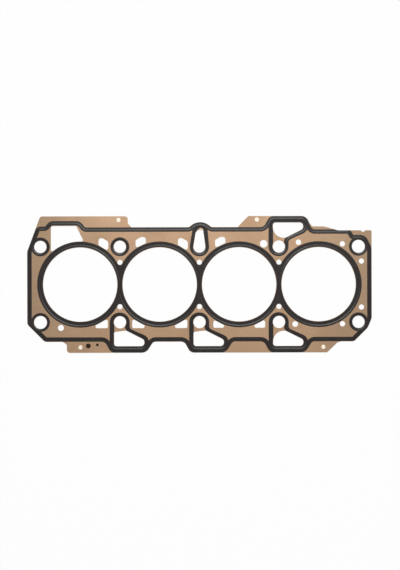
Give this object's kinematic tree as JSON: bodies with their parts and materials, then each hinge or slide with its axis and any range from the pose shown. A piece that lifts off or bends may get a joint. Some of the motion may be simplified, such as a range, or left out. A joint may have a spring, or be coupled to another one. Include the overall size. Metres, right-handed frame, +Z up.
{
  "type": "cylinder head gasket",
  "caption": "Flat multi-layer steel gasket that seals the cylinder head of an in-line engine to its block, with black elastomer tracks round its bores, bolt holes and edge.",
  "frame": {"origin": "middle of the head bolt pattern, on the surface that the gasket lies on", "axes": "+X along the line of cylinders, +Y towards the side with the large coolant window, +Z up towards the cylinder head"},
  "size_m": [0.39, 0.1546, 0.0018],
  "materials": {
    "sheet": "thin tan lacquer, satin",
    "carrier": "black primer",
    "coating": "printed elastomer, satin",
    "stopper": "rolled",
    "rivet": "bright"
  },
  "bodies": {
    "root": {"carrier_sheet": "carrier", "upper_sheet": "sheet", "lower_sheet": "sheet", "upper_combustion_coating": "coating", "upper_perimeter_coating": "coating", "upper_bolt_coating": "coating", "lower_combustion_coating": "coating", "lower_perimeter_coating": "coating", "lower_bolt_coating": "coating", "stopper_ring_1": "stopper", "stopper_ring_2": "stopper", "stopper_ring_3": "stopper", "stopper_ring_4": "stopper", "rivet_1": "rivet", "rivet_2": "rivet", "rivet_3": "rivet", "rivet_4": "rivet"}
  },
  "joints": []
}
